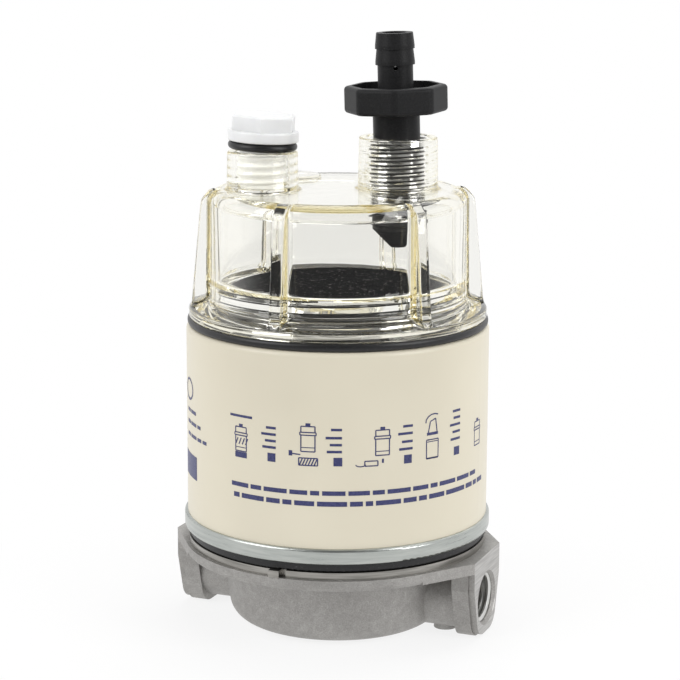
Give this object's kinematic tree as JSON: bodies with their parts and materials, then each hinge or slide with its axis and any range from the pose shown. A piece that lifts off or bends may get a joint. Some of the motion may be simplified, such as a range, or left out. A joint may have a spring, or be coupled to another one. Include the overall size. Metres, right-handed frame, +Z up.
{
  "type": "fuel water separator",
  "caption": "Spin-on fuel filter and water separator: cast two-port head, painted can and clear ribbed bowl with drain valve and sensor plug.",
  "frame": {"origin": "on the filter's axis, at the surface it stands on upside down", "axes": "+Z up along the filter's axis from the head to the drain valve, X along the line of the two ports, +Y towards the mounting pad"},
  "size_m": [0.0814, 0.078, 0.1494],
  "materials": {
    "cast_aluminium": "sand-blasted casting with a fine speckle, machined bright at the rim and in the ports",
    "zinc_steel": "bluish zinc plate",
    "black_rubber": "smooth, slightly oiled",
    "cream_paint": "satin cream paint with plain navy printed shapes",
    "black_steel": "black coating, lightly scuffed",
    "filter_paper": "resin-treated pleated paper",
    "potting": "cured potting compound",
    "clear_plastic": "clear moulded plastic, faintly yellow through its edges",
    "black_plastic": "moulded, satin",
    "white_plastic": "natural white, a little translucent"
  },
  "bodies": {
    "head": {"head": "cast_aluminium", "centre_nipple": "zinc_steel"},
    "element_seal": {"element_gasket": "black_rubber"},
    "element": {"gasket_retainer": "zinc_steel", "tapping_plate": "zinc_steel", "can": "cream_paint", "centre_grommet": "black_rubber", "head_end_cap": "black_steel", "head_potting": "potting", "pleated_media": "filter_paper", "centre_tube": "zinc_steel", "bowl_potting": "potting", "bowl_end_cap": "black_steel", "bowl_neck": "black_steel"},
    "bowl_seal": {"bowl_gasket": "black_rubber"},
    "bowl": {"bowl": "clear_plastic"},
    "valve_seal": {"drain_seal": "black_rubber"},
    "valve": {"drain_valve": "black_plastic"},
    "plug_seal": {"plug_seal": "black_rubber"},
    "plug": {"sensor_plug": "white_plastic"}
  },
  "joints": [
    {"name": "element_rise", "type": "slide", "parent": "head", "child": "element_seal", "axis": [0, 0, 1], "range_m": [0, 0.008]},
    {"name": "element_turn", "type": "hinge", "parent": "element_seal", "child": "element", "pos_m": [0, 0, 0.0227], "axis": [0, 0, 1], "range_deg": [0, 1920]},
    {"name": "bowl_rise", "type": "slide", "parent": "element", "child": "bowl_seal", "axis": [0, 0, 1], "range_m": [0, 0.008]},
    {"name": "bowl_turn", "type": "hinge", "parent": "bowl_seal", "child": "bowl", "pos_m": [0, 0, 0.0769], "axis": [0, 0, 1], "range_deg": [0, 960]},
    {"name": "valve_rise", "type": "slide", "parent": "bowl", "child": "valve_seal", "axis": [-0.0279, -0.0145, 0.9995], "range_m": [-0.005, 0.0045]},
    {"name": "valve_turn", "type": "hinge", "parent": "valve_seal", "child": "valve", "pos_m": [0.01322, 0.00688, 0.1108], "axis": [-0.0279, -0.0145, 0.9995], "range_deg": [-900, 810]},
    {"name": "plug_rise", "type": "slide", "parent": "bowl", "child": "plug_seal", "axis": [0.0387, 0.0201, 0.999], "range_m": [0, 0.01]},
    {"name": "plug_turn", "type": "hinge", "parent": "plug_seal", "child": "plug", "pos_m": [-0.01676, -0.00873, 0.12064], "axis": [0.0387, 0.0201, 0.999], "range_deg": [0, 1800]}
  ],
  "couplings": [
    {"joint": "element_rise", "follows": "element_turn", "m_per_rad": 0.00023873},
    {"joint": "bowl_rise", "follows": "bowl_turn", "m_per_rad": 0.00047746},
    {"joint": "valve_rise", "follows": "valve_turn", "m_per_rad": 0.00031831},
    {"joint": "plug_rise", "follows": "plug_turn", "m_per_rad": 0.00031831}
  ]
}
